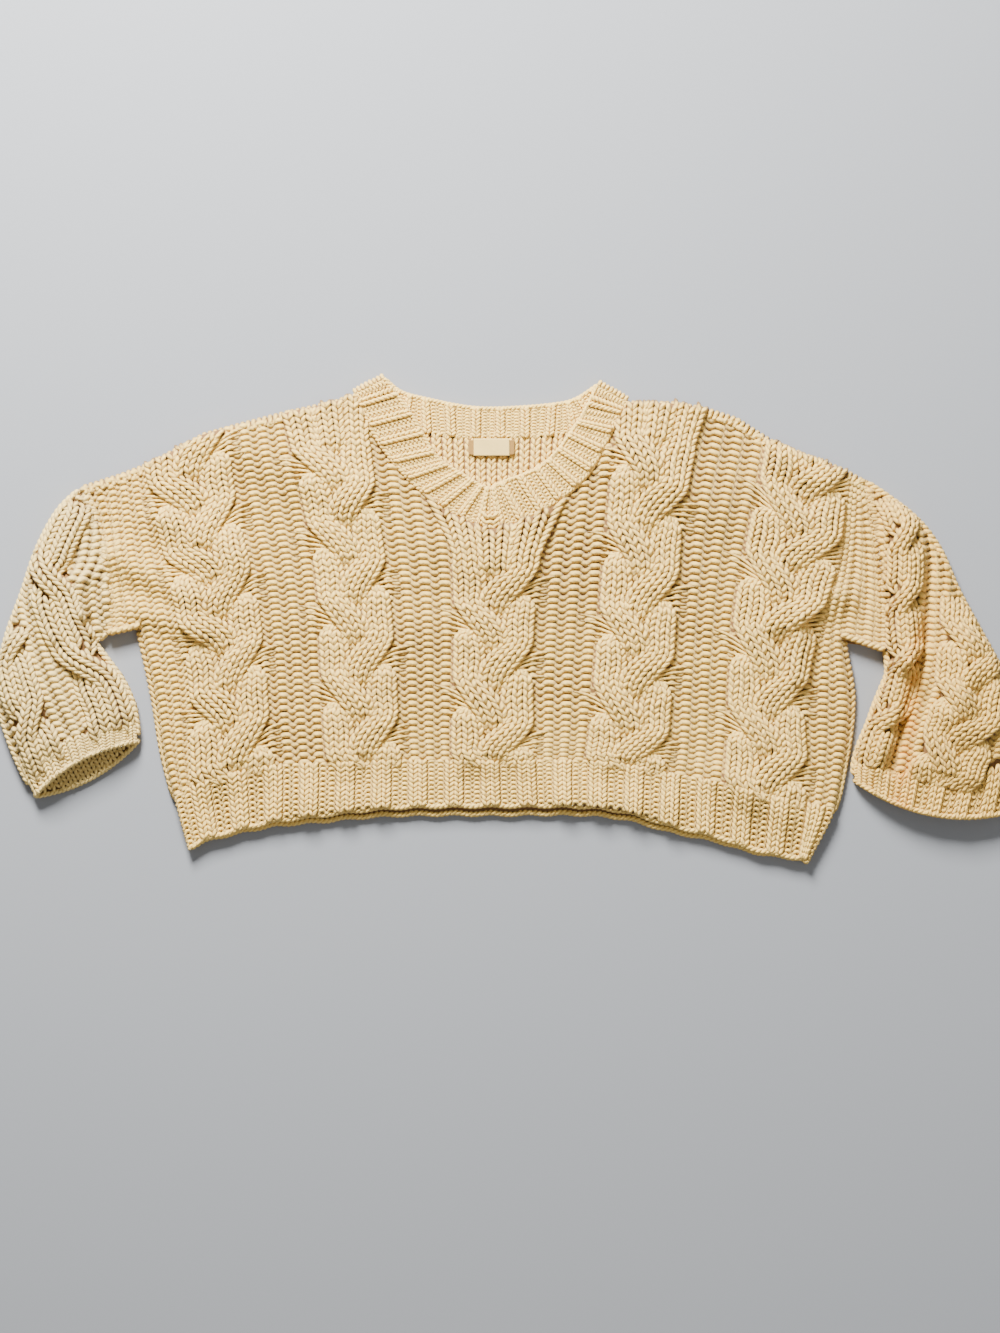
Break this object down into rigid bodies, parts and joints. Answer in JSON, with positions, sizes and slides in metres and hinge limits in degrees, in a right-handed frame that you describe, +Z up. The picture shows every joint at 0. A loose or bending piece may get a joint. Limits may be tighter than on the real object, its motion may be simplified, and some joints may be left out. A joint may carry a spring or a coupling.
{
  "type": "cropped knit sweater",
  "caption": "Chunky cream cable-knit cropped pullover with a ribbed V neck and short wide sleeves, laid flat front up.",
  "frame": {"origin": "middle of the laid garment's box, on the surface it rests on", "axes": "+X to the right of someone looking down on the front, +Y from hem to neck, +Z up off the surface"},
  "size_m": [0.975, 0.4653, 0.0364],
  "materials": {
    "knit_front": "matte chunky cream yarn, plaits on a purl ground",
    "knit_back": "matte chunky cream yarn",
    "knit_sleeve": "matte chunky cream yarn, plaits on a purl ground",
    "rib": "matte chunky cream yarn, ribbed",
    "label": "plain woven satin, bare",
    "tape": "tan woven tape"
  },
  "bodies": {
    "root": {"front_panel": "knit_front", "back_panel": "knit_back", "sleeve_left": "knit_sleeve", "sleeve_right": "knit_sleeve", "neckband": "rib", "neck_label": "label", "label_tape": "tape"}
  },
  "joints": []
}
